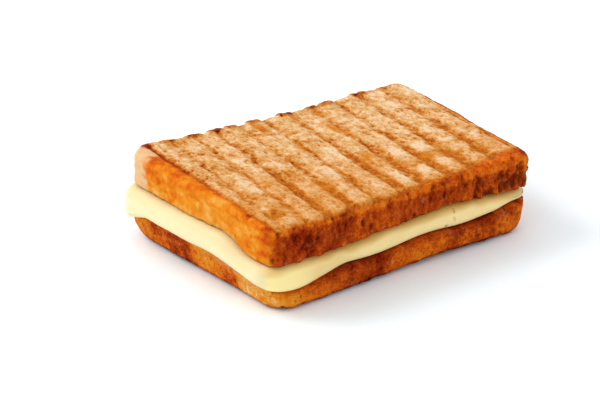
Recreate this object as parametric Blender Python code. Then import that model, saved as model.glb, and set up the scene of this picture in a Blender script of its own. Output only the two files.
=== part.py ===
"""Grilled cheese sandwich: two ridge-toasted bread slices with one thick layer of melted cheese between.

Metres, +Z up. X runs along the slices' long side and Y along the short side, with the end where the cheese
has sagged out at -X. The origin is the middle of the sandwich's box, on the surface that it rests on.
Each layer starts as a cube: its corners and edges are bevelled, planes cut it into a grid, and functions
then move the grid's points. Until the layers are centred, X = Y = 0 is the middle of the upper slice.
"""

import math

import bmesh
import bpy

MM = 0.001

# Driving dimensions of the upper slice, which the other layers follow.
SLICE_LENGTH = 123.5 * MM
SLICE_WIDTH = 83.5 * MM
HALF_LENGTH = SLICE_LENGTH / 2
HALF_WIDTH = SLICE_WIDTH / 2

# Heights at the middle of the sandwich.
SEAT_HEIGHT = 11.0 * MM  # from the ground to the cheese
LID_HEIGHT = 19.7 * MM  # to the upper slice
CROWN_HEIGHT = 31.9 * MM  # to the upper slice's toasted face
LAYER_GAP = 0.3 * MM

# The bread's outline and edges.
SLICE_CORNER = 5.5 * MM
LOWER_SLICE_CORNER = 9 * MM
LOWER_SLICE_SLUMP = -0.03  # its sides lean in towards the ground, as a part of their distance
CRUST_ROLL = 2.8 * MM  # rounding where the crust meets a toasted face
CUT_ROLL = 1.2 * MM  # and where it meets the face on the cheese
END_LEAN = 0.095  # of the end at +X, along X for each metre along Y
START_LEAN = 1.3 * MM  # of the end at -X, from its front to its back
SIDE_WOBBLE = 0.4 * MM
LOWER_SLICE_START = -60.5 * MM  # its end at -X, set back from the upper slice's
LOWER_SLICE_END = 62.2 * MM
LOWER_SLICE_FRONT = -42.15 * MM
LOWER_SLICE_BACK = 46.5 * MM  # its side at +Y, which reaches past the upper slice's

# The cheese, which has sagged out past the bread at -X and +Y.
CHEESE_OVERHANG = 3.2 * MM
CHEESE_BACK_OVERHANG = 1.4 * MM
CHEESE_RECESS = 0.6 * MM  # behind the bread on its other sides
CHEESE_CORNER = 7 * MM
CHEESE_ROLL = 2 * MM
CHEESE_SLUMP = 0.015  # how far its sides lean out towards the bottom, as a part of their distance

# The grill's ridges, pressed across the slices. The bread has stretched towards +X, so each pitch is wider
# than the one before.
MARKS = 10
FIRST_MARK = 10.9 * MM  # from the -X end
MARK_PITCH = 10.3 * MM
MARK_SPREAD = 0.08 * MM
MARK_LEAN = 0.13  # along X for each metre along Y
MARK_HALF_WIDTH = 1.8 * MM
MARK_DEPTH = 0.6 * MM
PILLOW_RISE = 0.6 * MM  # of the bread between two marks
LAND_INSET = 6 * MM  # the marks of the underside fade out over this distance from the sides

# The grid that the functions move.
ROWS = 9
SIDE_LEVELS = 2
CHEESE_COLUMNS = 16


def smoothstep(start, end, value):
    """0 before start and 1 past end, with a smooth rise between them; end may be the smaller one."""
    t = min(max((value - start) / (end - start), 0.0), 1.0)
    return t * t * (3 - 2 * t)


def across(x, y):
    """A place as parts of the upper slice's half length and half width: -1 to 1 each way."""
    return x / HALF_LENGTH, y / HALF_WIDTH


MARK_PLACES = [
    -HALF_LENGTH + FIRST_MARK + i * MARK_PITCH + i * i * MARK_SPREAD for i in range(MARKS)
]


def mark_distance(x, y):
    return min(abs(x - MARK_LEAN * y - place) for place in MARK_PLACES)


def groove(x, y):
    """1 in the middle of a grill mark, falling to 0 just inside its edges."""
    return 1 - smoothstep(0, 0.9 * MARK_HALF_WIDTH, mark_distance(x, y))


def pillow(x, y):
    """1 midway between two grill marks and 0 on them."""
    return math.sin(math.pi * min(mark_distance(x, y) / MARK_PITCH, 0.5))


def swell(distance, reach):
    """1 in the middle of a rise or a hollow, falling to 0 where it ends."""
    return smoothstep(reach, 0, abs(distance))


def seat(x, y):
    """Height of the face between the lower slice and the cheese. It rises to both ends, has two hollows
    along the front, and dips at the front corner at -X and less so at the back one."""
    u, v = across(x, y)
    rise = 1.6 * MM * smoothstep(0.62, 0.8, u) + 2.5 * MM * smoothstep(-0.5, -0.9, u)
    hollows = 1.5 * MM * swell(x + 15 * MM, 25 * MM) + 0.8 * MM * swell(x - 27 * MM, 16 * MM)
    corner = 6.9 * MM * swell(math.hypot((x + 52.5 * MM) / 25.5, (y + 48 * MM) / 47), MM)
    droop = 1.7 * MM * smoothstep(23 * MM, 3 * MM, math.hypot(x + 61 * MM, y - 46 * MM))
    return SEAT_HEIGHT + rise - corner - hollows * smoothstep(0, -0.9, v) - droop


def lid(x, y):
    """Height of the face between the cheese and the upper slice. It dips at the same corner and at +X."""
    u, v = across(x, y)
    rise = 2.4 * MM * smoothstep(-0.5, -1.0, u) - 2.7 * MM * smoothstep(0.3, 0.95, u)
    hollow = 0.9 * MM * swell(x + 4 * MM, 20 * MM) * smoothstep(0, -0.9, v)
    corner = 1.9 * MM * smoothstep(-0.1, -0.4, u) + 2.3 * MM * smoothstep(-0.5, -1.0, u)
    wave = 0.25 * MM * math.sin(x / (11 * MM) + 1.0) * math.cos(y / (26 * MM))
    return LID_HEIGHT + rise - corner * smoothstep(-0.32, -0.72, v) - hollow + wave


def crown(x, y):
    """Height of the upper slice's toasted face, without its marks: it falls towards +X and towards -Y."""
    u, v = across(x, y)
    twist = 0.55 * MM * (u * u - u * v)
    sag = 0.7 * MM * (1 - u * u) * (v + 1) / 2
    return CROWN_HEIGHT - 1.6 * MM * u + 1.2 * MM * v + twist - sag


def upper_bottom(x, y):
    return lid(x, y) + LAYER_GAP / 2


def upper_top(x, y):
    return crown(x, y) + PILLOW_RISE * pillow(x, y) - MARK_DEPTH * groove(x, y)


def cheese_bottom(x, y):
    return seat(x, y) + LAYER_GAP / 2


def cheese_top(x, y):
    return lid(x, y) - LAYER_GAP / 2


def lower_bottom(x, y):
    """Flat lands at height 0 between shallow marks, which fade out towards the sides. The front edge and
    the one at -X have curled up along their middles, and the back corner at -X has too."""
    in_y = min(y - LOWER_SLICE_FRONT, LOWER_SLICE_BACK - y)
    in_x = HALF_LENGTH - abs(x)
    inside = smoothstep(0, LAND_INSET, in_x) * smoothstep(0, LAND_INSET, in_y)
    u, v = across(x, y)
    front = 1.2 * MM * swell(x - 14 * MM, 36 * MM) * smoothstep(-0.8, -1.0, v)
    start = 0.5 * MM * swell(y - 5 * MM, 32 * MM) * smoothstep(-0.85, -0.97, u)
    corner = 1.0 * MM * swell(math.hypot(x + 61 * MM, y - 46 * MM), 15 * MM)
    pressed = groove(x / (1 + LOWER_SLICE_SLUMP), y / (1 + LOWER_SLICE_SLUMP))
    return MARK_DEPTH * pressed * inside + max(front, start, corner)


def lower_top(x, y):
    return seat(x, y) - LAYER_GAP / 2


def outline(x, y, slump=0.0):
    """The place of a blank's point: both ends lean, every side wobbles, and slump moves it outwards."""
    u, v = across(x, y)
    lean = END_LEAN * y * (u + 1) / 2 - START_LEAN * (v + 1) / 2 * (1 - u) / 2
    wobble_x = SIDE_WOBBLE * math.sin(y / (12 * MM) + 0.6) * u**5
    wobble_y = SIDE_WOBBLE * math.sin(x / (15 * MM) - 1.2) * v**5
    return x * (1 + slump) + lean + wobble_x, y * (1 + slump) + wobble_y


def cut(bm, point, normal):
    """Cuts the whole mesh by a plane and keeps both sides."""
    everything = bm.verts[:] + bm.edges[:] + bm.faces[:]
    bmesh.ops.bisect_plane(bm, geom=everything, dist=1e-6, plane_co=point, plane_no=normal)


def evenly(low, high, count):
    """count values between low and high, without the two ends."""
    return [low + (high - low) * i / (count + 1) for i in range(1, count + 1)]


def mark_columns():
    """Planes along the middle and both edges of each mark, as places on Y = 0 and leans in the blank. They
    undo what the outline's leans will do to them."""
    columns = []
    for place in MARK_PLACES:
        u = place / HALF_LENGTH
        start = START_LEAN * (1 - u) / 4
        lean = MARK_LEAN - END_LEAN * (u + 1) / 2 + start / HALF_WIDTH
        columns += [(place + start + side * MARK_HALF_WIDTH, lean) for side in (-1, 0, 1)]
    return columns


def bevel_rim(bm, z, roll):
    """Rounds the edges that lie at one height."""
    rim = [edge for edge in bm.edges if all(abs(vert.co.z - z) < 1e-6 for vert in edge.verts)]
    bmesh.ops.bevel(bm, geom=rim, offset=roll, segments=3, profile=0.5, affect="EDGES")


def blank(x_range, y_range, corner, bottom_roll, top_roll, columns):
    """A flat slab, as high as the cheese's seat, bevelled and cut into a grid of triangles."""
    height = SEAT_HEIGHT
    bm = bmesh.new()
    bmesh.ops.create_cube(bm, size=1.0)
    for vert in bm.verts:
        vert.co.x = x_range[0] + (vert.co.x + 0.5) * (x_range[1] - x_range[0])
        vert.co.y = y_range[0] + (vert.co.y + 0.5) * (y_range[1] - y_range[0])
        vert.co.z = (vert.co.z + 0.5) * height
    upright = [edge for edge in bm.edges if abs(edge.verts[0].co.z - edge.verts[1].co.z) > height / 2]
    bmesh.ops.bevel(bm, geom=upright, offset=corner, segments=5, profile=0.5, affect="EDGES")
    bevel_rim(bm, 0, bottom_roll)
    bevel_rim(bm, height, top_roll)
    for place, lean in columns:
        cut(bm, (place, 0, 0), (1, -lean, 0))
    for y in evenly(*y_range, ROWS):
        cut(bm, (0, y, 0), (0, 1, 0))
    for z in evenly(bottom_roll, height - top_roll, SIDE_LEVELS):
        cut(bm, (0, 0, z), (0, 0, 1))
    bmesh.ops.triangulate(bm, faces=bm.faces[:])
    return bm, height


def layer(name, blank_and_height, bottom, top, material, slump=0.0):
    """Moves a blank's points onto the layer's outline and its bottom and top faces, and makes the object."""
    bm, height = blank_and_height
    for vert in bm.verts:
        t = vert.co.z / height
        x, y = outline(vert.co.x, vert.co.y, slump * (1 - t))
        vert.co = (x, y, bottom(x, y) + t * (top(x, y) - bottom(x, y)))
    bmesh.ops.recalc_face_normals(bm, faces=bm.faces[:])
    mesh = bpy.data.meshes.new(name)
    bm.to_mesh(mesh)
    bm.free()
    mesh.materials.append(material)
    return bpy.data.objects.new(name, mesh)


def principled(name, colour, roughness):
    material = bpy.data.materials.new(name)
    material.use_nodes = True
    shader = material.node_tree.nodes["Principled BSDF"]
    shader.inputs["Base Color"].default_value = (*colour, 1.0)
    shader.inputs["Roughness"].default_value = roughness
    shader.inputs["Metallic"].default_value = 0.0
    return material


def bread_top():
    x_range = (-HALF_LENGTH, HALF_LENGTH)
    y_range = (-HALF_WIDTH, HALF_WIDTH)
    slab = blank(x_range, y_range, SLICE_CORNER, CUT_ROLL, CRUST_ROLL, mark_columns())
    toasted = principled("toasted bread, upper slice", (0.72, 0.41, 0.14), 0.7)
    return layer("bread_top", slab, upper_bottom, upper_top, toasted)


def cheese():
    x_range = (-HALF_LENGTH - CHEESE_OVERHANG, HALF_LENGTH - CHEESE_RECESS)
    y_range = (-HALF_WIDTH + CHEESE_RECESS, HALF_WIDTH + CHEESE_BACK_OVERHANG)
    columns = [(x, 0.0) for x in evenly(*x_range, CHEESE_COLUMNS)]
    slab = blank(x_range, y_range, CHEESE_CORNER, CHEESE_ROLL, CHEESE_ROLL, columns)
    melted = principled("melted cheese", (0.90, 0.78, 0.42), 0.4)
    return layer("cheese", slab, cheese_bottom, cheese_top, melted, CHEESE_SLUMP)


def bread_bottom():
    x_range = (LOWER_SLICE_START, LOWER_SLICE_END)
    y_range = (LOWER_SLICE_FRONT, LOWER_SLICE_BACK)
    slab = blank(x_range, y_range, LOWER_SLICE_CORNER, CRUST_ROLL, CUT_ROLL, mark_columns())
    toasted = principled("toasted bread, lower slice", (0.42, 0.15, 0.03), 0.7)
    return layer("bread_bottom", slab, lower_bottom, lower_top, toasted, LOWER_SLICE_SLUMP)


def centre(objects):
    """Slides the layers together until their common box has its middle over the origin and its base at 0."""
    points = [vert.co for obj in objects for vert in obj.data.vertices]
    lowest = [min(point[axis] for point in points) for axis in range(3)]
    highest = [max(point[axis] for point in points) for axis in range(3)]
    middle = ((lowest[0] + highest[0]) / 2, (lowest[1] + highest[1]) / 2, lowest[2])
    for obj in objects:
        for vert in obj.data.vertices:
            vert.co = [vert.co[axis] - middle[axis] for axis in range(3)]


def main():
    for obj in list(bpy.data.objects):
        bpy.data.objects.remove(obj, do_unlink=True)
    sandwich = bpy.data.collections.new("Grilled cheese sandwich")
    bpy.context.scene.collection.children.link(sandwich)
    layers = [bread_bottom(), cheese(), bread_top()]
    centre(layers)
    for obj in layers:
        sandwich.objects.link(obj)
        obj.data.shade_smooth()
        obj.data.set_sharp_from_angle(angle=math.radians(50))


main()
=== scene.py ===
"""Looks of a grilled cheese sandwich: two slices of ridge-toasted bread and a thick layer of melted cheese.

Each layer is a closed box of small squares. Functions bend it into its solid's shape, then lump, pit and
crease it as baking and the grill did. The same functions say how brown each point is, and the materials
read that. Sizes are in millimetres until a mesh is written, which is in metres like the frame.
"""

import math

import bmesh
import bpy
import numpy as np
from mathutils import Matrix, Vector, kdtree, noise


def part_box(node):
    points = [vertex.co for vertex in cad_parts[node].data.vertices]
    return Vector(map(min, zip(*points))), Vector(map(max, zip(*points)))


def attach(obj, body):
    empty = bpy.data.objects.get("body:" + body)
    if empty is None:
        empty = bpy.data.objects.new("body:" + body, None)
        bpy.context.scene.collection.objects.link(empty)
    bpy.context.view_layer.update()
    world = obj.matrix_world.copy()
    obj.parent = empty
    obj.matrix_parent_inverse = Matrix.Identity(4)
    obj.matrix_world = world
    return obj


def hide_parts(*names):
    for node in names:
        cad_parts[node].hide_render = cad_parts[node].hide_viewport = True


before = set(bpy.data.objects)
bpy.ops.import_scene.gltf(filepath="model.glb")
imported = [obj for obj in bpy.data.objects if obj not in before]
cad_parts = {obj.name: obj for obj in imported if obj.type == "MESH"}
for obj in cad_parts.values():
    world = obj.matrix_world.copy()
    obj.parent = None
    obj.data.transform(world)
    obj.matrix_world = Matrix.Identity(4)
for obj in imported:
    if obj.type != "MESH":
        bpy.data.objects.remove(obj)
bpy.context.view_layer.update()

MM = 0.001


def box_mm(node):
    """A solid's lowest and highest corners in millimetres."""
    return [np.array(corner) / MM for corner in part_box(node)]


# The layers' outlines, as in the solids.
SIDE_WOBBLE = 0.4
END_LEAN = 0.095  # of the end at +X, along X for each millimetre along Y
START_LEAN = 1.3  # of the end at -X, from its front to its back
SLICE_CORNER = 5.5
LOWER_SLICE_CORNER = 9.0
CRUST_ROLL = 2.8
CUT_ROLL = 1.2
CHEESE_CORNER = 7.0
CHEESE_ROLL = 3.2
CHEESE_SLUMP = 0.015
LOWER_SLICE_SLUMP = -0.03
LAYER_GAP = 0.3
SEAT_HEIGHT = 11.0  # of the cheese's underside, at the middle
LID_HEIGHT = 19.7  # of its upper side
CROWN_HEIGHT = 31.9  # of the upper slice's toasted face

# Places are measured from the middle of the upper slice.
HALF_LENGTH = 61.75
HALF_WIDTH = 41.75
UPPER_SLICE = ((-HALF_LENGTH, HALF_LENGTH), (-HALF_WIDTH, HALF_WIDTH))
LOWER_SLICE = ((-60.5, 62.2), (-HALF_WIDTH - 0.4, 46.5))
CHEESE_SLAB = ((-HALF_LENGTH - 3.2, HALF_LENGTH - 0.6), (-HALF_WIDTH + 0.6, HALF_WIDTH + 1.4))

# The grill's ridges, pressed across the slices from the -X end on, each a little further from the last.
FIRST_MARK = 10.9
MARK_PITCH = 10.3
MARK_SPREAD = 0.08
MARK_LEAN = 0.13
MARK_DEPTH = 0.6
PILLOW_RISE = 0.45
# For each ridge: how hard it burnt the front of the slice, how far back the hard burn reaches (-1 to 1), the
# mark's half width, and how far it lies from its even place.
MARKS = (
    (0.25, -0.7, 1.3, 0.0),
    (0.45, -0.5, 1.4, -0.3),
    (0.85, 0.0, 1.5, -1.1),
    (0.80, -0.45, 1.8, -0.6),
    (0.60, -0.45, 1.8, -0.5),
    (0.85, 0.0, 1.5, 0.0),
    (0.85, -0.1, 1.9, -0.5),
    (0.75, -0.2, 1.9, 0.0),
    (0.75, -0.1, 2.0, 0.0),
    (0.75, -0.2, 1.7, 0.0),
)

# Spots of the upper slice's toasted face: place along X and Y, half width along X and Y, and strength.
SCORCHES = (
    (-46.8, 30, 1.6, 2.2, 0.4), (-43, 24, 1.4, 2.5, 0.35), (-40.5, 17, 1.5, 2.5, 0.5),
    (-46, 11.5, 1.2, 3, 0.5), (-42.6, 7, 1.2, 2.5, 0.4), (-53.3, -2, 1.4, 7, 0.45),
    (-50.5, -29, 2.6, 5, 0.45), (-43, -22, 1.5, 3, 0.5), (-28, 16.5, 1.5, 4, 0.5),
    (-29.7, 10, 2.2, 5, 0.5), (-34, -28, 2.6, 5, 0.5), (-19.7, 9, 2.0, 3, 0.75),
    (-18.8, -1, 1.8, 4, 0.5), (-24.2, -30, 2.4, 4, 0.55), (-10.5, 31, 2.2, 5, 0.6),
    (-9, 10, 2.0, 3.5, 0.35), (-12.3, -28, 3.0, 5, 0.45), (5.5, 26, 1.8, 4, 0.45),
    (0.3, 11, 1.3, 3, 0.5), (6, 10.5, 1.0, 3, 0.5), (2.8, -3, 1.8, 3, 0.4),
    (-0.5, -24, 1.8, 5, 0.4), (10.6, -24, 3.2, 4.5, 0.75), (12.4, -14, 1.8, 3, 0.6),
    (25.3, 12, 1.2, 3, 0.5), (21.6, 14, 1.6, 2.5, 0.4), (22, -23, 3.2, 4, 0.65),
    (37.8, 20, 1.0, 3, 0.6), (32.3, -23, 3.0, 5, 0.65), (35.5, -11, 2.0, 4, 0.45),
    (49.5, 15.7, 1.3, 4, 0.45), (48.7, 4, 1.6, 3, 0.5), (47, -3, 1.7, 2.5, 0.6),
    (52.4, 25, 2.2, 4, 0.35), (44.5, -28, 2.0, 6, 0.55), (53.7, -36, 1.6, 2, 0.9),
    (24.5, -21.5, 1.6, 1.6, 0.4), (13, 8, 1.2, 3, 0.4),
)
GOLDEN_SPOTS = (
    (12.8, 17, 2.8, 6, 1.0), (14, 10, 1.6, 4, 1.0), (24, -20.5, 4, 4, 1.0),
    (6.5, -10, 3.4, 4.5, 1.0), (-39.5, -9, 2.5, 4, 0.7), (-9.7, 34, 2, 4, 0.9),
    (-23.8, -21, 4.5, 3.5, 0.9), (-9.5, 9, 2, 4, 0.7), (4, -19, 4, 4, 0.5), (17.8, 31, 2, 4, 0.7),
    (-26.5, -10, 4, 6, 0.35), (48, -22, 4, 6, 0.35),
)
PALE_SPOTS = (
    (-35.5, 11, 2.4, 5, 0.9), (-35.8, 1, 2.4, 5, 0.9), (-46.3, -9, 2.6, 7, 0.7),
    (-29.7, 24, 2.4, 6, 0.7), (-1.2, -3, 3, 8, 1.0), (-14, -12, 3, 8, 0.5), (5.3, -29, 3.4, 6, 1.0),
    (15.3, -31, 3, 4, 0.9), (17.8, -14, 2.8, 7, 1.0), (27.8, -12, 3.2, 5, 1.0),
    (25.8, -29, 3, 4, 0.6), (40.8, -2.5, 3.2, 5, 1.1), (39.5, -12, 3, 3.5, 1.1),
    (23.7, 20, 4, 5, 0.6), (-7.5, -31, 2.6, 5, 0.6), (51, -18, 2.5, 6, 0.6), (-6, 21, 4, 6, 0.5),
    (44, 25, 4, 7, 0.5), (33, 3, 4, 6, 0.4),
)

# Burnt caps on the back rim: place along X, half width, and strength.
BACK_CAPS = (
    (-56, 1.8, 0.8), (-46.3, 3, 0.6), (-35.5, 3.3, 1.0), (-26, 3.2, 1.1), (-18.5, 2.8, 0.9),
    (-8.5, 3, 1.1), (6, 3.4, 1.1), (19, 2.8, 1.0), (26, 3.2, 1.0), (42, 4.2, 0.9), (54, 2, 0.4),
)

# How pores and pits are drawn out along X, Y and Z.
LONG_PORE = np.array([0.75, 1.2, 1.0])
FRECKLE = np.array([0.8, 1.2, 1.0])
CRUST_PIT = np.array([0.8, 0.9, 1.15])
LOWER_CRUST_PIT = np.array([0.8, 0.8, 1.3])

CRUST_FLAKE = (57, -39.8, 23.5)  # a crumb of crust that stands out from the front corner at +X

CELL = 0.42  # of the slices' squares
CHEESE_CELL = 0.6
SLICE_HEIGHT = 12  # of a slice's sides, for the number of squares up them
CHEESE_HEIGHT = 16
HIDDEN_CELLS = 8  # squares of a visible face along one square of a hidden face
HIDDEN_REACH = 0.93  # of a hidden face's squares, of the way out to its rim


def smooth(start, end, value):
    """0 before start and 1 past end, with a smooth rise between them; end may be the smaller one."""
    t = np.clip((value - start) / (end - start), 0, 1)
    return t * t * (3 - 2 * t)


def lumps(places, size, seed):
    """Smooth unevenness from about -1 to 1. The lumps' size is one number, or one for each axis."""
    shift = Vector((seed * 13.7, seed * 7.3, seed * 3.1))
    return 1.6 * np.array([noise.noise(Vector(place) + shift) for place in places / size])


def across(x, y):
    """Where a place lies along and across the upper slice, from -1 to 1."""
    return x / HALF_LENGTH, y / HALF_WIDTH


def swell(distance, reach):
    """1 in the middle of a rise or a hollow, falling to 0 where it ends."""
    return smooth(reach, 0, np.abs(distance))


def seat(x, y):
    """Height of the face between the lower slice and the cheese. It is the solids' face, but it droops
    further over the back corner at -X."""
    u, v = across(x, y)
    rise = 1.6 * smooth(0.62, 0.8, u) + 2.5 * smooth(-0.5, -0.9, u)
    hollows = 1.5 * swell(x + 15, 25) + 0.8 * swell(x - 27, 16)
    corner = 6.9 * swell(np.hypot((x + 52.5) / 25.5, (y + 48) / 47), 1)
    droop = 3.6 * smooth(22, 8, np.hypot(x + 61, y - 46))
    return SEAT_HEIGHT + rise - corner - hollows * smooth(0, -0.9, v) - droop


def lid(x, y):
    """Height of the face between the cheese and the upper slice, as in the solids."""
    u, v = across(x, y)
    rise = 2.4 * smooth(-0.5, -1.0, u) - 2.7 * smooth(0.3, 0.95, u)
    hollow = 0.9 * swell(x + 4, 20) * smooth(0, -0.9, v)
    corner = 1.9 * smooth(-0.1, -0.4, u) + 2.3 * smooth(-0.5, -1.0, u)
    wave = 0.25 * np.sin(x / 11 + 1) * np.cos(y / 26)
    return LID_HEIGHT + rise - corner * smooth(-0.32, -0.72, v) - hollow + wave


def crown(x, y):
    """Height of the upper slice's toasted face, without its marks, as in the solids."""
    u, v = across(x, y)
    twist = 0.55 * (u * u - u * v)
    sag = 0.7 * (1 - u * u) * (v + 1) / 2
    return CROWN_HEIGHT - 1.6 * u + 1.2 * v + twist - sag


def foot(x, y):
    """Height of the lower slice's underside, without its marks: two edges and a corner have curled up."""
    u, v = across(x, y)
    front = 1.2 * swell(x - 14, 36) * smooth(-0.8, -1.0, v)
    start = 0.5 * swell(y - 5, 32) * smooth(-0.85, -0.97, u)
    corner = 1.0 * swell(np.hypot(x + 61, y - 46), 15)
    return np.maximum.reduce([front, start, corner])


def outline(x, y, slump=0.0):
    """Leans both ends, wobbles every side, and lets the foot slump outwards."""
    u, v = across(x, y)
    lean = END_LEAN * y * (u + 1) / 2 - START_LEAN * (v + 1) / 2 * (1 - u) / 2
    wobble_x = SIDE_WOBBLE * np.sin(y / 12 + 0.6) * u**5
    wobble_y = SIDE_WOBBLE * np.sin(x / 15 - 1.2) * v**5
    return x * (1 + slump) + lean + wobble_x, y * (1 + slump) + wobble_y


def blank(columns, rows, levels, fine_face_up):
    """A closed box, -1 to 1 in plan and 0 to 1 high. Its sides and one face are fine squares. The other
    face is hidden inside the sandwich, so it is coarse squares, with triangles out to the rim."""
    bm = bmesh.new()
    bmesh.ops.create_grid(bm, x_segments=columns, y_segments=rows, size=1)
    for vert in bm.verts:
        vert.co.z = 1
    rim = [edge for edge in bm.edges if edge.is_boundary]
    for level in range(levels - 1, -1, -1):
        made = bmesh.ops.extrude_edge_only(bm, edges=rim)["geom"]
        rim = [item for item in made if isinstance(item, bmesh.types.BMEdge) and item.is_boundary]
        for vert in {vert for edge in rim for vert in edge.verts}:
            vert.co.z = level / levels
    wide, deep = columns // HIDDEN_CELLS, rows // HIDDEN_CELLS
    hidden = bmesh.ops.create_grid(bm, x_segments=wide, y_segments=deep, size=HIDDEN_REACH)
    hidden_rim = {edge for vert in hidden["verts"] for edge in vert.link_edges if edge.is_boundary}
    bmesh.ops.triangle_fill(bm, edges=rim + list(hidden_rim), use_beauty=True)
    if not fine_face_up:
        for vert in bm.verts:
            vert.co.z = 1 - vert.co.z
    bmesh.ops.recalc_face_normals(bm, faces=bm.faces[:])
    return bm


def blank_for(x_range, y_range, cell, height, fine_face_up=True):
    """A blank whose squares are one cell wide once it is bent into a layer of this size."""
    columns = round((x_range[1] - x_range[0]) / cell)
    rows = round((y_range[1] - y_range[0]) / cell)
    return blank(columns, rows, round(height / cell), fine_face_up)


class Skin:
    """A layer's surface: where each point is, which way it faces, and how far it faces along X and Y."""

    def __init__(self, bm, x_range, y_range, corner, rolls, underside, upperside, slump=0.0):
        at = np.array([vert.co for vert in bm.verts])
        low, high = np.array([x_range, y_range]).T
        half = (high - low) / 2
        flat = at[:, :2] * half
        core = np.clip(flat, corner - half, half - corner)
        away = flat - core
        reach = np.abs(away).max(1)
        swing = math.pi / 4 * np.abs(away).min(1) / np.maximum(reach, 1e-9)
        mostly_x = np.abs(away[:, 0]) >= np.abs(away[:, 1])
        across_x = np.where(mostly_x, np.cos(swing), np.sin(swing))
        across_y = np.where(mostly_x, np.sin(swing), np.cos(swing))
        outwards = np.stack([across_x, across_y], 1) * np.sign(away)
        inset = corner - reach
        t = at[:, 2]
        side = (t > 0) & (t < 1)
        upper = t > 0.5
        top_roll, foot_roll = rolls
        roll = np.where(upper, top_roll, foot_roll)
        rolled = side | (inset < roll)
        x, y = flat.T
        # The thickness is taken where the outline moves a point to, so it takes a few rounds.
        for _ in range(3):
            height = upperside(x, y) - underside(x, y)
            below, above = (1 - t) * height, t * height
            from_top = np.clip(1 - inset / top_roll, 0, 1)
            from_top = np.where(side, 1 + np.clip(below / top_roll, 0, 1), from_top)
            from_foot = np.clip(1 - inset / foot_roll, 0, 1)
            from_foot = np.where(side, 1 + np.clip(above / foot_roll, 0, 1), from_foot)
            tilt = math.pi / 4 * np.where(upper, from_top, 4 - from_foot)
            within = np.where(rolled, roll * (1 - np.sin(tilt)), inset)
            plan = core + outwards * (corner - within)[:, None] + (low + high) / 2
            x, y = outline(*plan.T, slump * (1 - t))
        sunk = np.where(rolled, roll * (1 - np.abs(np.cos(tilt))), 0)
        sunk = np.where(side, np.maximum(sunk, np.where(upper, below, above)), sunk)
        z = np.where(upper, upperside(x, y) - sunk, underside(x, y) + sunk)
        self.place = np.stack([x, y, z], 1)
        self.facing = np.concatenate([outwards * np.sin(tilt)[:, None], np.cos(tilt)[:, None]], 1)
        self.end, self.side = outwards.T


def pits(places, chosen, radii, stretch):
    """Round hollows at chosen points, 1 at the middle of each and 0 outside. Stretch makes them longer."""
    shrunk = places / stretch
    tree = kdtree.KDTree(len(shrunk))
    for i, place in enumerate(shrunk):
        tree.insert(place, i)
    tree.balance()
    depth = np.zeros(len(shrunk))
    for middle, radius in zip(chosen, radii):
        for _, i, distance in tree.find_range(shrunk[middle], radius):
            depth[i] = max(depth[i], 1 - (distance / radius) ** 2)
    return depth


def scattered(rng, wanted, count):
    """That many points of a surface, taken at random where wanted is high."""
    return rng.choice(len(wanted), count, replace=False, p=wanted / wanted.sum())


def spots(x, y, places):
    """Soft-edged spots, each at its own place, half widths and strength."""
    found = np.zeros(len(x))
    for middle_x, middle_y, half_x, half_y, strength in places:
        away = np.hypot((x - middle_x) / half_x, (y - middle_y) / half_y) / 1.6
        found = np.maximum(found, strength * smooth(1, 0, away))
    return found


def grill(skin, seed, stretch=1.0):
    """The ridges' marks on a toasted face: how deep each point lies in one, how burnt it is, and how far
    the bread has puffed up between them."""
    x, y, _ = skin.place.T / stretch
    plan = skin.place * (1, 1, 0)
    along = x - MARK_LEAN * y
    wander = along + 0.5 * lumps(plan, (9, 6, 1), seed) + 0.35 * lumps(plan, 2.2, seed + 1)
    ragged = lumps(plan, (3, 4.5, 1), seed + 2)
    dotted = lumps(plan, (1.8, 2.6, 1), seed + 3)
    deep, burnt = np.zeros(len(x)), np.zeros(len(x))
    nearest = np.full(len(x), 99.0)
    for i, (burn, reach, width, shift) in enumerate(MARKS):
        place = -HALF_LENGTH + FIRST_MARK + i * MARK_PITCH + i * i * MARK_SPREAD + shift
        hard = burn * smooth(reach + 0.4, reach - 0.3, y / HALF_WIDTH + 0.25 * ragged)
        half = width * (0.70 + 0.30 * ragged + 0.75 * hard)
        line = smooth(1.35 * half, 0.5 * half, np.abs(wander - place))
        deep = np.maximum(deep, line * (0.3 + 0.7 * hard))
        char = np.clip(0.42 + 0.34 * dotted + hard * (0.75 + 0.3 * dotted), 0, 1.2)
        burnt = np.maximum(burnt, line * char)
        nearest = np.minimum(nearest, np.abs(along - place))
    puffed = np.sin(math.pi * np.minimum(nearest / MARK_PITCH, 0.5))
    return deep, burnt, puffed


def crumb(skin, seed):
    """Unevenness of the toasted crumb, from bubbles the size of a pea to grains the size of a poppy seed."""
    plan = skin.place * (1, 1, 0.5)
    return (
        0.18 * lumps(plan, (5.0, 7.0, 5.0), seed)
        + 0.15 * lumps(plan, (2.4, 3.2, 2.4), seed + 1)
        + 0.10 * lumps(plan, (1.2, 1.5, 1.2), seed + 2)
    )


def baked_sides(skin, seed):
    """Unevenness of the crust round the sides: long swells, upright folds and the baked skin's grain. The
    folds are also given on their own, for placing pits and for the highlight and shade painted on them."""
    front = smooth(0.3, 0.8, -skin.side)
    fold = lumps(skin.place, (3.4, 3.4, 9.0), seed + 1)
    fold += 0.6 * lumps(skin.place, (1.6, 1.6, 3.2), seed + 4)
    wrinkle = lumps(skin.place, (5.0, 5.0, 2.4), seed + 2)
    baked = (
        0.35 * lumps(skin.place, (16, 16, 12), seed)
        + 0.38 * fold * front
        + 0.16 * wrinkle * (1 - front)
        + 0.10 * lumps(skin.place, 1.6, seed + 3)
    )
    return baked, fold


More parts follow.
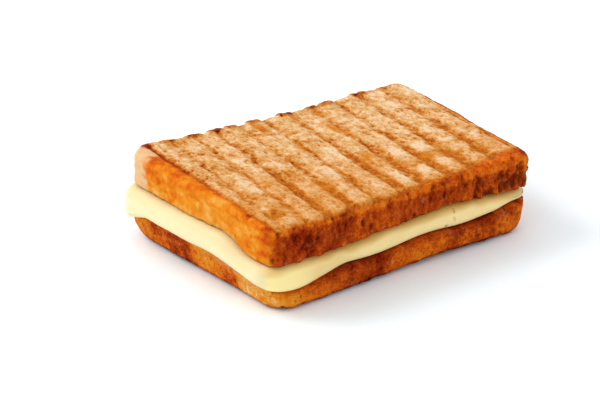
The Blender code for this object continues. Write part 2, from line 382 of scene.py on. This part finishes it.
def upper_slice(skin):
    """Presses, pits and browns the upper slice. Returns the relief along each point's facing, and the
    amounts that its material reads."""
    rng = np.random.default_rng(11)
    x, y, z = skin.place.T
    u, v = across(x, y)
    plan = skin.place * (1, 1, 0)
    patchy = lumps(skin.place, (6, 6, 6), 31)
    fine = lumps(skin.place, (2.0, 2.6, 2.0), 32)

    # The toasted face ends a few millimetres inside the rim, where the crust begins.
    from_crease = x + 57.9 - 0.045 * y + 0.25 * patchy
    band = 0.2 + 2.4 * smooth(-0.45, 0.3, u) + 3.4 * smooth(0.3, 0.75, u)
    from_front = y + HALF_WIDTH + 1.1 * patchy + 0.8 * fine
    from_end = HALF_LENGTH + END_LEAN * y - x + 1.2 * smooth(0.5, 0.9, v)
    from_back = HALF_WIDTH - y
    up = skin.facing[:, 2]
    face = (
        smooth(-0.1, 0.8, from_crease + 0.2 * fine)
        * smooth(band - 1.2, band + 1.2, from_front)
        * smooth(1.7, 2.6, from_end + 0.4 * patchy)
        * smooth(0.3, 1.2, from_back + 0.3 * fine)
        * smooth(0.5, 0.8, up)
    )

    deep, burnt, puffed = grill(skin, 41)
    on_top = smooth(0.2, 0.85, up)
    bubbles = crumb(skin, 51)
    left_crease = np.exp(-((from_crease / 1.0) ** 2)) * on_top * smooth(1.5, 4, from_back)
    right_crease = np.exp(-(((from_end - 3.3 + 0.4 * patchy) / 0.9) ** 2)) * on_top * smooth(0.5, 0.0, v)
    inside = smooth(0, 2.5, from_crease) * smooth(2.5, 5, from_end)
    back_caps = np.zeros(len(x))
    for place, half, strength in BACK_CAPS:
        cap = smooth(1.3 * half, 0.5 * half, np.abs(x - place + 0.5 * fine))
        back_caps = np.maximum(back_caps, strength * cap)
    back_caps *= smooth(4.6, 2.9, from_back + 0.5 * fine + 0.3 * patchy) * smooth(4.5, 1.5, crown(x, y) - z)
    pressed = MARK_DEPTH * deep * smooth(0, 6, from_back)
    swollen = PILLOW_RISE * puffed * (0.8 + 0.5 * lumps(plan, (8, 12, 1), 33))
    relief = on_top * (inside * (swollen - pressed) + 0.9 * bubbles * face + 0.8 * back_caps)
    relief -= 0.45 * left_crease + 0.35 * right_crease
    crust = 1 - face
    baked, fold = baked_sides(skin, 61)
    relief += crust * baked
    relief += 1.2 * smooth(1.8, 0.4, np.linalg.norm(skin.place - CRUST_FLAKE, axis=1))

    # Pores in the crumb, and pits in the crust: mostly at the front, and most of all towards +X.
    crumb_pores = scattered(rng, face * (1.3 - deep) * (1 + 0.5 * patchy).clip(0.1), 800)
    pores = pits(skin.place, crumb_pores, rng.uniform(0.4, 1.0, 800), LONG_PORE)
    front = smooth(0.4, 0.8, -skin.side)
    left = smooth(0.45, 0.9, -skin.end)
    right_third = smooth(0.42, 0.62, u)
    back = smooth(0.4, 0.8, skin.side)
    pitted = crust * (0.1 + front * (0.30 + 2.2 * right_third) + 0.5 * back) * (1 - left)
    crust_pores = scattered(rng, pitted * smooth(0.9, 0.6, up) * smooth(0.2, -0.9, fold), 260)
    pit_sizes = 0.35 + 1.5 * rng.random(260) ** 2.5 + 0.55 * right_third[crust_pores] * rng.random(260)
    holes = pits(skin.place + 0.5 * patchy[:, None], crust_pores, pit_sizes, CRUST_PIT)
    relief -= 0.35 * pores * face + 0.85 * holes * crust**3

    # Browning of the face: pale on the puffed bread, darker in the marks, at scorches and at the rims.
    shifted_x, shifted_y = x + 0.8 * fine + 0.6 * patchy, y + 1.2 * fine
    pale = spots(shifted_x, shifted_y, PALE_SPOTS)
    scorched = spots(shifted_x, shifted_y, SCORCHES)
    golden = spots(shifted_x, shifted_y, GOLDEN_SPOTS)
    freckled = scattered(rng, face * (0.15 + burnt), 260)
    freckles = pits(skin.place, freckled, rng.uniform(0.5, 1.2, 260), FRECKLE)
    browning = 0.272 + 0.11 * patchy + 0.16 * fine - 0.05 * puffed + 0.03 * smooth(-0.2, -0.6, u)
    browning += np.maximum(0.50 * burnt * inside, 0.70 * scorched * (0.9 + 0.3 * fine)) + 0.14 * freckles
    # The pores are browned darker: painted shade in the crumb's hollows.
    browning += 0.22 * golden - 0.28 * pale + 0.30 * pores
    browning += 0.35 * smooth(band + 3.0, band, from_front) * smooth(-1.0, -0.3, u)
    browning = np.minimum(browning, 0.80)
    browning += 0.42 * left_crease + 0.12 * smooth(2.0, 0.5, from_crease)
    browning += 0.65 * right_crease * (0.8 + 0.3 * patchy)
    browning = np.minimum(browning + 0.52 * back_caps, 0.9)

    # Colour of the crust: bright gold at the -X end, dark round the rest, palest where it rolls over the
    # top. The back corner at -X is nearly bare crumb.
    dull = lumps(skin.place, (9, 9, 7), 71)
    streak = lumps(skin.place, (1.3, 1.3, 5.0), 72)
    below_top = crown(x, y) - z
    above_cheese = z - lid(x, y)
    golden_end = 0.35 + 0.06 * smooth(5, 25, y) - 0.07 * swell(y + 12, 22) + 0.12 * smooth(-30, -40, y)
    golden_end += 0.06 * smooth(5, 1, below_top)
    golden_end -= (0.07 + 0.08 * smooth(-8, 12, y)) * smooth(5, 1, above_cheese)
    golden_end += 0.13 * lumps(skin.place, (5, 5, 3), 73) + 0.08 * lumps(skin.place, (2.2, 2.2, 1.6), 74)
    golden_end += 0.25 * smooth(0.55, 1.1, np.abs(lumps(skin.place, (3, 3, 6), 75))) * swell(y + 27, 16)
    shoulder = smooth(3.6, 1.4, below_top + 0.7 * patchy)
    dark_front = 0.70 + 0.06 * smooth(-0.3, -0.9, u) - (0.22 - 0.09 * right_third) * shoulder
    dark = left * golden_end + (1 - left) * dark_front
    dark += (0.055 + 0.03 * front) * dull + 0.06 * streak * (1 - left) + 0.03 * fine
    # The folds are lighter on their crests and darker in their furrows: painted highlight and shade.
    dark -= 0.085 * right_third + 0.09 * fold * front
    dark += 0.15 * left_crease + 0.2 * back_caps + 0.05 * on_top * (1 - left)
    dark += (0.14 + 0.08 * patchy) * smooth(5, 3, from_end) * on_top
    dark += 0.12 * smooth(1.2, 0.2, above_cheese + 0.3 * fine) * (1 - left)
    pale_corner = smooth(29.5, 33.5, y + 1.5 * patchy + 1.2 * fine)
    pale_corner *= smooth(0.1, 0.6, 0.2 * patchy - skin.end) * (0.95 + 0.2 * fine)
    # Small pale spots on the dark crust: painted highlights.
    painted_highlight_flecks = 0.16 * smooth(0.5, 1.2, lumps(skin.place, (1.2, 1.2, 2.6), 76))
    painted_highlight_flecks *= (1 - left) * smooth(0.8, 0.3, up)
    amounts = {"crust": crust, "browning": browning * face + dark * crust}
    amounts["pale"] = np.maximum(pale_corner, painted_highlight_flecks)
    # Painted shade: the crust's pits are mixed towards near-black.
    amounts["pores"] = holes * crust**3
    amounts["golden"] = np.maximum(golden, 0.35 * smooth(0.2, -0.6, v) * (1 - pale)) * face
    amounts["golden"] *= smooth(1.1, 0.85, browning)
    amounts["grain"] = face + crust * (0.5 - 0.2 * left)
    return relief, amounts


# Patches of the lower slice's crust: place along X and Y, half widths, and how much darker they are.
DARK_PATCHES = (
    (-60, 28, 14, 9, 0.15), (-60, 17, 9, 9, 0.24), (-60, 10, 4, 4, 0.34), (-60, -17, 4, 4, 0.16),
    (-37, -42, 7, 6, 0.05), (-21, -42, 9, 6, 0.15), (-13, -42, 3, 4, 0.18), (21, -42, 4, 5, 0.14),
    (34, -42, 7, 6, 0.06), (0, 46, 30, 6, 0.08),
)
LIGHT_PATCHES = (
    (-60, 35, 6, 5, 0.08), (-60, -1, 8, 8, 0.17), (-60, -26, 9, 9, 0.27), (-55, -38, 9, 9, 0.34),
    (-46, -42, 8, 4, 0.12), (4, -42, 14, 6, 0.07), (50, -42, 7, 6, 0.05),
)


def lower_slice(skin):
    """Presses, pits and browns the lower slice, whose toasted face is underneath."""
    rng = np.random.default_rng(12)
    x, y, z = skin.place.T
    u, _ = across(x, y)
    patchy = lumps(skin.place, (6, 6, 6), 131)
    fine = lumps(skin.place, (2.0, 2.6, 2.0), 132)
    down = -skin.facing[:, 2]
    (start_x, end_x), (start_y, end_y) = LOWER_SLICE
    inset = np.minimum.reduce([x - start_x, end_x + END_LEAN * y - x, y - start_y, end_y - y])
    face = smooth(2.0, 4.0, inset + 0.6 * patchy + 0.4 * fine) * smooth(0.55, 0.8, down)

    deep, burnt, puffed = grill(skin, 141, 1 + LOWER_SLICE_SLUMP)
    on_face = smooth(0.2, 0.85, down)
    land = smooth(0, 6, inset)
    relief = on_face * (0.35 * crumb(skin, 151) * face - MARK_DEPTH * deep * land)
    relief += 1.1 * smooth(20, 3, np.hypot(x + 59, y - 43)) * smooth(2, 8, z)
    baked, fold = baked_sides(skin, 161)
    relief += (1 - face) * baked * (0.35 + 0.65 * smooth(0.5, 5, z))

    crumb_pores = scattered(rng, face * (1.2 - deep), 1100)
    pores = pits(skin.place, crumb_pores, rng.uniform(0.4, 0.95, 1100), LONG_PORE)
    front = smooth(0.4, 0.8, -skin.side)
    crust = 1 - face
    pitted = crust * (0.1 + front * (0.3 + 1.6 * smooth(0.3, 0.6, u)) + 0.5 * smooth(0.4, 0.8, skin.side))
    crust_pores = scattered(rng, pitted * smooth(0.9, 0.6, down), 150)
    holes = pits(skin.place, crust_pores, 0.4 + 0.9 * rng.random(150) ** 2, LOWER_CRUST_PIT)
    relief -= 0.3 * pores * face + 0.6 * holes * crust
    relief = np.where(down > 0, np.minimum(relief, z / np.maximum(down, 0.2)), relief)

    # The pores are browned darker: painted shade in the crumb's hollows.
    browning = 0.34 + 0.09 * patchy + 0.10 * fine + 0.50 * burnt + 0.35 * smooth(7, 3, inset) + 0.3 * pores
    left = smooth(0.45, 0.9, -skin.end)
    dark = 0.53 - 0.09 * left + (0.05 + 0.05 * left) * lumps(skin.place, (9, 9, 9), 171)
    # The folds are lighter on their crests and darker in their furrows: painted highlight and shade.
    dark += 0.035 * lumps(skin.place, (1.3, 1.3, 4.0), 172) - 0.04 * fold * front + 0.04 * fine
    dark += 0.07 * left * lumps(skin.place, (3, 3, 2.5), 173)
    shifted_x, shifted_y = x + 1.2 * patchy, y + 1.2 * patchy
    dark += spots(shifted_x, shifted_y, DARK_PATCHES) - spots(shifted_x, shifted_y, LIGHT_PATCHES)
    # Darker in a band just under the cheese on the front: painted shade of the cheese's overhang.
    dark += 0.14 * front * smooth(3.5, 0.5, seat(x, y) - z + 0.8 * patchy)
    dark += 0.38 * smooth(2.3, 0.5, z - foot(x, y) + 0.7 * patchy + 0.5 * fine)
    amounts = {"crust": crust, "browning": browning * face + dark * crust}
    # Painted shade: the crust's pits are mixed towards near-black.
    amounts["pores"] = 0.8 * holes * crust
    pale_strip = smooth(0.66, 0.8, skin.end + 0.05 * fine) * (skin.side < -0.2) * swell(z - 7, 6)
    # Small pale spots on the crust: painted highlights.
    painted_highlight_flecks = 0.15 * smooth(0.5, 1.2, lumps(skin.place, (1.2, 1.2, 2.0), 176))
    rubbed = 0.5 * (1 + fine) * swell(y + 16, 24) * left * smooth(5, 2, seat(x, y) - z)
    amounts["pale"] = np.maximum.reduce([painted_highlight_flecks, 0.4 * pale_strip, rubbed])
    amounts["golden"] = 0 * x
    amounts["grain"] = face + (0.5 + 0.25 * left) * crust
    return relief, amounts


# Specks in the cheese's sides: place along X, Y and Z, and radius.
CHEESE_SPECKS = (
    (20.0, -41.2, 18.2, 0.8), (20.1, -41.2, 17.0, 0.7), (19.9, -41.2, 14.8, 0.75),
    (20.2, -41.2, 14.0, 0.8), (16.4, -41.2, 12.6, 0.9), (16.6, -41.2, 14.0, 0.5),
    (-64.5, 32.5, 19.0, 0.5), (-64.5, 31.8, 18.6, 0.4),
)


def cheese_surface(skin):
    """Softens the melted slab with slow swells, and marks how near each point is to the bread above, for the
    shade painted there.
    """
    relief = 0.28 * lumps(skin.place, (14, 14, 8), 201) + 0.05 * lumps(skin.place, 4.0, 202)
    relief *= np.hypot(skin.facing[:, 0], skin.facing[:, 1])
    x, y, z = skin.place.T
    specks = np.zeros(len(x))
    for *place, radius in CHEESE_SPECKS:
        away = np.linalg.norm((skin.place - place) * (1, 1, 0.8), axis=1)
        specks = np.maximum(specks, smooth(radius, 0, away))
    uneven = lumps(skin.place, (7, 7, 4), 203)
    # Painted shade of the bread above: a band just under it, and a fainter wash over the front round x =
    # -37.
    painted_bread_shade = smooth(4.1, 1.2, lid(x, y) - z + 0.5 * uneven)
    painted_bread_shade *= 1 - 0.5 * smooth(38, 58, x)
    front_overhang_shade = (0.28 + 0.1 * uneven) * swell(x + 37, 20) * smooth(0, 0.5, -skin.side)
    painted_bread_shade = np.maximum(painted_bread_shade, front_overhang_shade)
    pale = np.maximum(smooth(0.1, 0.95, -skin.end), 0.5 * smooth(-40, -52, x) * (skin.side < 0))
    amounts = {"under_bread": painted_bread_shade * (1 - 0.75 * pale), "pale": pale, "specks": specks}
    return relief - 0.25 * specks, amounts


def piece(name, bm, skin, relief, amounts, material, node):
    """Writes the finished surface into a mesh with its amounts, and sets it in the frame."""
    finished = (skin.place + skin.facing * relief[:, None] + MIDDLE) * MM
    mesh = bpy.data.meshes.new(name)
    bm.to_mesh(mesh)
    bm.free()
    mesh.vertices.foreach_set("co", finished.astype(np.float32).ravel())
    for amount, values in amounts.items():
        stored = mesh.attributes.new(amount, "FLOAT", "POINT")
        stored.data.foreach_set("value", np.clip(values, 0, 1).astype(np.float32))
    mesh.materials.append(material)
    mesh.shade_smooth()
    mesh.update()
    obj = bpy.data.objects.new(name, mesh)
    bpy.context.scene.collection.objects.link(obj)
    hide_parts(node)
    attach(obj, "root")


# ---- Materials ----


def linear(hex_colour):
    """sRGB hex to the linear colour that shaders take."""
    shares = [int(hex_colour[i : i + 2], 16) / 255 for i in (1, 3, 5)]
    return [s / 12.92 if s <= 0.04045 else ((s + 0.055) / 1.055) ** 2.4 for s in shares] + [1.0]


def add(tree, kind, settings=None, **links):
    """Adds a node, sets its properties, its ramp's colours if it has one, and its inputs, and links the
    inputs that are given as sockets. An input is named with underscores, or by its number after 'in_'."""
    node = tree.nodes.new(kind)
    for key, value in (settings or {}).items():
        if key == "colours":
            stops = node.color_ramp.elements
            for place, _ in value[2:]:
                stops.new(place)
            for stop, (place, colour) in zip(stops, value):
                stop.position = place
                stop.color = linear(colour)
        else:
            setattr(node, key, value)
    for key, value in links.items():
        socket = node.inputs[int(key[3:])] if key.startswith("in_") else node.inputs[key.replace("_", " ")]
        if isinstance(value, bpy.types.NodeSocket):
            tree.links.new(value, socket)
        else:
            socket.default_value = value
    return node


ATTRIBUTE, NOISE = "ShaderNodeAttribute", "ShaderNodeTexNoise"
MATH, MIX, RAMP = "ShaderNodeMath", "ShaderNodeMix", "ShaderNodeValToRGB"
COLOURS = {"data_type": "RGBA"}
SCALE_AND_ADD = {"operation": "MULTIPLY_ADD"}

# Colours by how brown the bread is, on its toasted faces and on its crust.
FACE_COLOURS = (
    (0.0, "#e0c4a0"), (0.15, "#dab07f"), (0.3, "#cf9d64"), (0.42, "#c78c4a"), (0.54, "#be7a33"),
    (0.66, "#b4641b"), (0.8, "#a84e0c"), (0.9, "#8a3606"), (1.0, "#4f1905"),
)
CRUST_COLOURS = (
    (0.0, "#ebc48f"), (0.12, "#daa352"), (0.27, "#d88720"), (0.41, "#d17012"), (0.52, "#c5590b"),
    (0.62, "#ac430a"), (0.72, "#933404"), (0.82, "#802001"), (0.92, "#6a0e00"), (1.0, "#340800"),
)
BUTTER_GOLD = "#cb7a1b"  # where fat has fried the crumb
# Pale crumb on the crust, also the colour of its painted highlights.
BARE_CRUMB_AND_HIGHLIGHT = "#d7b284"
# Painted shade in the crust's pits.
PIT_SHADE = "#3c0a02"

# Real sizes of the bread's patterns.
GRAIN = 0.9
BUBBLE = 2.2
SHADED_PORE_SPECK = 0.6
FINE_GRAIN = 0.45


def toasted_bread(name, seed):
    """Toasted white bread: a dry, matt crumb that goes from cream through tan to burnt brown, and a baked
    crust from gold to mahogany with hardly any sheen."""
    material = bpy.data.materials.new(name)
    material.use_nodes = True
    tree = material.node_tree
    shader = tree.nodes["Principled BSDF"]
    where = add(tree, "ShaderNodeTexCoord").outputs["Object"]
    where = add(tree, "ShaderNodeVectorMath", {"operation": "ADD"}, in_0=where, in_1=(seed, 0, 0)).outputs[0]
    amounts = {
        amount: add(tree, ATTRIBUTE, {"attribute_name": amount}).outputs["Fac"]
        for amount in ("browning", "crust", "pale", "pores", "golden", "grain")
    }

    # Grains and bubbles shade the browning that the mesh carries, and dark specks darken it: painted shade
    # of the finest pores.
    grains = add(tree, NOISE, Vector=where, Scale=1 / (GRAIN * MM), Detail=3.0).outputs["Fac"]
    bubbles = add(tree, NOISE, Vector=where, Scale=1 / (BUBBLE * MM), Detail=3.0).outputs["Fac"]
    burnt = add(tree, NOISE, Vector=where, Scale=1 / (SHADED_PORE_SPECK * MM), Detail=1.0).outputs["Fac"]
    burnt = add(tree, MATH, {"operation": "SUBTRACT"}, in_0=burnt, in_1=0.56).outputs[0]
    burnt = add(tree, MATH, {"operation": "MAXIMUM"}, in_0=burnt, in_1=0.0).outputs[0]
    shade = add(tree, MATH, SCALE_AND_ADD, in_0=bubbles, in_1=0.50, in_2=-0.625).outputs[0]
    shade = add(tree, MATH, SCALE_AND_ADD, in_0=grains, in_1=0.75, in_2=shade).outputs[0]
    shade = add(tree, MATH, SCALE_AND_ADD, in_0=burnt, in_1=1.5, in_2=shade).outputs[0]
    browning = add(
        tree, MATH, SCALE_AND_ADD, in_0=shade, in_1=amounts["grain"], in_2=amounts["browning"]
    ).outputs[0]

    face = add(tree, RAMP, {"colours": FACE_COLOURS}, Fac=browning).outputs["Color"]
    share = add(tree, MATH, {"operation": "MULTIPLY"}, in_0=amounts["golden"], in_1=0.8).outputs[0]
    face = add(tree, MIX, COLOURS, in_0=share, in_6=face, in_7=linear(BUTTER_GOLD)).outputs[2]
    sides = add(tree, RAMP, {"colours": CRUST_COLOURS}, Fac=browning).outputs["Color"]
    # Pale: bare crumb, and the crust's painted highlights.
    share = add(tree, MATH, {"operation": "MULTIPLY"}, in_0=amounts["pale"], in_1=0.95).outputs[0]
    sides = add(tree, MIX, COLOURS, in_0=share, in_6=sides, in_7=linear(BARE_CRUMB_AND_HIGHLIGHT)).outputs[2]
    colour = add(tree, MIX, COLOURS, in_0=amounts["crust"], in_6=face, in_7=sides).outputs[2]
    # Painted shade in the pits.
    share = add(tree, MATH, {"operation": "MULTIPLY"}, in_0=amounts["pores"], in_1=0.7).outputs[0]
    colour = add(tree, MIX, COLOURS, in_0=share, in_6=colour, in_7=linear(PIT_SHADE)).outputs[2]
    tree.links.new(colour, shader.inputs["Base Color"])

    # Dry bread scatters light almost like chalk: it is rough all over, more so on its grains.
    rough = add(
        tree, "ShaderNodeMapRange", Value=grains, From_Min=0.3, From_Max=0.7, To_Min=0.62, To_Max=0.86
    )
    tree.links.new(rough.outputs[0], shader.inputs["Roughness"])
    fine = add(tree, NOISE, Vector=where, Scale=1 / (FINE_GRAIN * MM), Detail=2.0).outputs["Fac"]
    height = add(tree, MATH, SCALE_AND_ADD, in_0=fine, in_1=0.4, in_2=grains).outputs[0]
    bump = add(tree, "ShaderNodeBump", Height=height, Strength=0.5, Distance=0.3 * MM)
    tree.links.new(bump.outputs[0], shader.inputs["Normal"])
    shader.inputs["Specular IOR Level"].default_value = 0.03
    return material


# Colours of the cheese, cloud by cloud and where it is pale, painted shade in dark yellow under the bread,
# or has a speck.
CLOUD_COLOURS = ((0.3, "#e9cc8c"), (0.7, "#f0da9c"))
PALER_COLOURS = ((0.0, "#f0d798"), (0.5, "#fdeaa2"), (1.0, "#e2d9b2"))
SHADE_YELLOW_UNDER_BREAD = "#bf8f17"
SPECK = "#6a4f1c"

# Real sizes of the cheese's patterns.
CLOUD = 9
CURD_GRAIN = 1.5


def melted_cheese():
    """Mild cheese melted and set again: smooth, waxy and slightly see-through, with a greasy glow."""
    material = bpy.data.materials.new("mild cheese, melted")
    material.use_nodes = True
    tree = material.node_tree
    shader = tree.nodes["Principled BSDF"]
    where = add(tree, "ShaderNodeTexCoord").outputs["Object"]
    amounts = {
        amount: add(tree, ATTRIBUTE, {"attribute_name": amount}).outputs["Fac"]
        for amount in ("pale", "under_bread", "specks")
    }

    clouds = add(tree, NOISE, Vector=where, Scale=1 / (CLOUD * MM), Detail=2.0).outputs["Fac"]
    body = add(tree, RAMP, {"colours": CLOUD_COLOURS}, Fac=clouds).outputs["Color"]
    paler = add(tree, RAMP, {"colours": PALER_COLOURS}, Fac=amounts["pale"]).outputs["Color"]
    colour = add(tree, MIX, COLOURS, in_0=0.7, in_6=body, in_7=paler).outputs[2]
    # Painted shade under the bread: dark yellow mixed in.
    share = add(tree, MATH, {"operation": "MULTIPLY"}, in_0=amounts["under_bread"], in_1=0.72).outputs[0]
    colour = add(tree, MIX, COLOURS, in_0=share, in_6=colour, in_7=linear(SHADE_YELLOW_UNDER_BREAD)).outputs[2]
    colour = add(tree, MIX, COLOURS, in_0=amounts["specks"], in_6=colour, in_7=linear(SPECK)).outputs[2]
    tree.links.new(colour, shader.inputs["Base Color"])
    fine = add(tree, NOISE, Vector=where, Scale=1 / (CURD_GRAIN * MM), Detail=2.0).outputs["Fac"]
    rough = add(tree, "ShaderNodeMapRange", Value=fine, To_Min=0.38, To_Max=0.55)
    tree.links.new(rough.outputs[0], shader.inputs["Roughness"])
    bump = add(tree, "ShaderNodeBump", Height=fine, Strength=0.1, Distance=0.15 * MM)
    tree.links.new(bump.outputs[0], shader.inputs["Normal"])
    shader.inputs["Subsurface Weight"].default_value = 0.3
    shader.inputs["Subsurface Radius"].default_value = (1.0, 0.55, 0.2)
    shader.inputs["Subsurface Scale"].default_value = 3 * MM
    shader.inputs["Specular IOR Level"].default_value = 0.25
    return material


# ---- Studio ----


def studio():
    """A white floor in a white room, with a large soft lamp on the left."""
    bm = bmesh.new()
    bmesh.ops.create_grid(bm, x_segments=1, y_segments=1, size=3)
    mesh = bpy.data.meshes.new("floor")
    bm.to_mesh(mesh)
    bm.free()
    floor = bpy.data.objects.new("floor", mesh)
    floor.location.z = -0.05 * MM  # just clear of the bread's flat lands
    bpy.context.scene.collection.objects.link(floor)
    paper = bpy.data.materials.new("white paper")
    paper.use_nodes = True
    shader = paper.node_tree.nodes["Principled BSDF"]
    shader.inputs["Base Color"].default_value = (0.89, 0.945, 0.97, 1)
    shader.inputs["Roughness"].default_value = 0.9
    shader.inputs["Specular IOR Level"].default_value = 0.1
    mesh.materials.append(paper)

    world = bpy.data.worlds.new("white room")
    world.use_nodes = True
    world.node_tree.nodes["Background"].inputs["Color"].default_value = (1, 1, 1, 1)
    world.node_tree.nodes["Background"].inputs["Strength"].default_value = 1.0
    bpy.context.scene.world = world

    soft = bpy.data.lights.new("softbox", "AREA")
    soft.shape = "RECTANGLE"
    soft.size, soft.size_y = 0.7, 0.7
    soft.energy = 9
    lamp = bpy.data.objects.new("softbox", soft)
    lamp.location = (-0.65, 0.75, 0.9)
    lamp.rotation_euler = (-lamp.location).to_track_quat("-Z", "Y").to_euler()
    bpy.context.scene.collection.objects.link(lamp)


CAMERA_DISTANCE = 0.833
CAMERA_LENS = 137.4


def camera(middle):
    """Looks down on the front left corner from just over 0.8 m away with a long lens."""
    azimuth, elevation = math.radians(-38.0), math.radians(23.9)
    level = Vector((math.sin(azimuth), -math.cos(azimuth), 0))
    back = level * math.cos(elevation) + Vector((0, 0, math.sin(elevation)))
    right = Vector((math.cos(azimuth), math.sin(azimuth), 0))
    aim = Vector(middle) + Vector((0.5, 0.1, 18.75)) - right * 13.85 - back.cross(right) * 5.7
    aim *= MM
    data = bpy.data.cameras.new("camera")
    data.lens = CAMERA_LENS
    data.clip_start = 0.05
    data.clip_end = 20
    view = bpy.data.objects.new("camera", data)
    view.location = aim + back * CAMERA_DISTANCE
    view.rotation_euler = (-back).to_track_quat("-Z", "Y").to_euler()
    bpy.context.scene.collection.objects.link(view)
    bpy.context.scene.camera = view


def upper_slice_foot(x, y):
    return lid(x, y) + LAYER_GAP / 2


def lower_slice_top(x, y):
    return seat(x, y) - LAYER_GAP / 2


def cheese_foot(x, y):
    return seat(x, y) + LAYER_GAP / 2


def cheese_top(x, y):
    return lid(x, y) - LAYER_GAP / 2


bm = blank_for(*UPPER_SLICE, CELL, SLICE_HEIGHT)
skin = Skin(bm, *UPPER_SLICE, SLICE_CORNER, (CRUST_ROLL, CUT_ROLL), upper_slice_foot, crown)
MIDDLE = (sum(box_mm("bread_top")) - skin.place.min(0) - skin.place.max(0)) / 2 * (1, 1, 0)
toast = toasted_bread("white bread, ridge-toasted, upper slice", 0.0)
piece("toast_upper", bm, skin, *upper_slice(skin), toast, "bread_top")

bm = blank_for(*LOWER_SLICE, CELL, SLICE_HEIGHT, fine_face_up=False)
rolls = (CUT_ROLL, CRUST_ROLL)
skin = Skin(bm, *LOWER_SLICE, LOWER_SLICE_CORNER, rolls, foot, lower_slice_top, LOWER_SLICE_SLUMP)
toast = toasted_bread("white bread, ridge-toasted, lower slice", 0.5)
piece("toast_lower", bm, skin, *lower_slice(skin), toast, "bread_bottom")

bm = blank_for(*CHEESE_SLAB, CHEESE_CELL, CHEESE_HEIGHT)
rolls = (CHEESE_ROLL, CHEESE_ROLL)
skin = Skin(bm, *CHEESE_SLAB, CHEESE_CORNER, rolls, cheese_foot, cheese_top, CHEESE_SLUMP)
piece("melted_cheese", bm, skin, *cheese_surface(skin), melted_cheese(), "cheese")

camera(MIDDLE)
studio()
bpy.context.scene.view_settings.view_transform = "Standard"
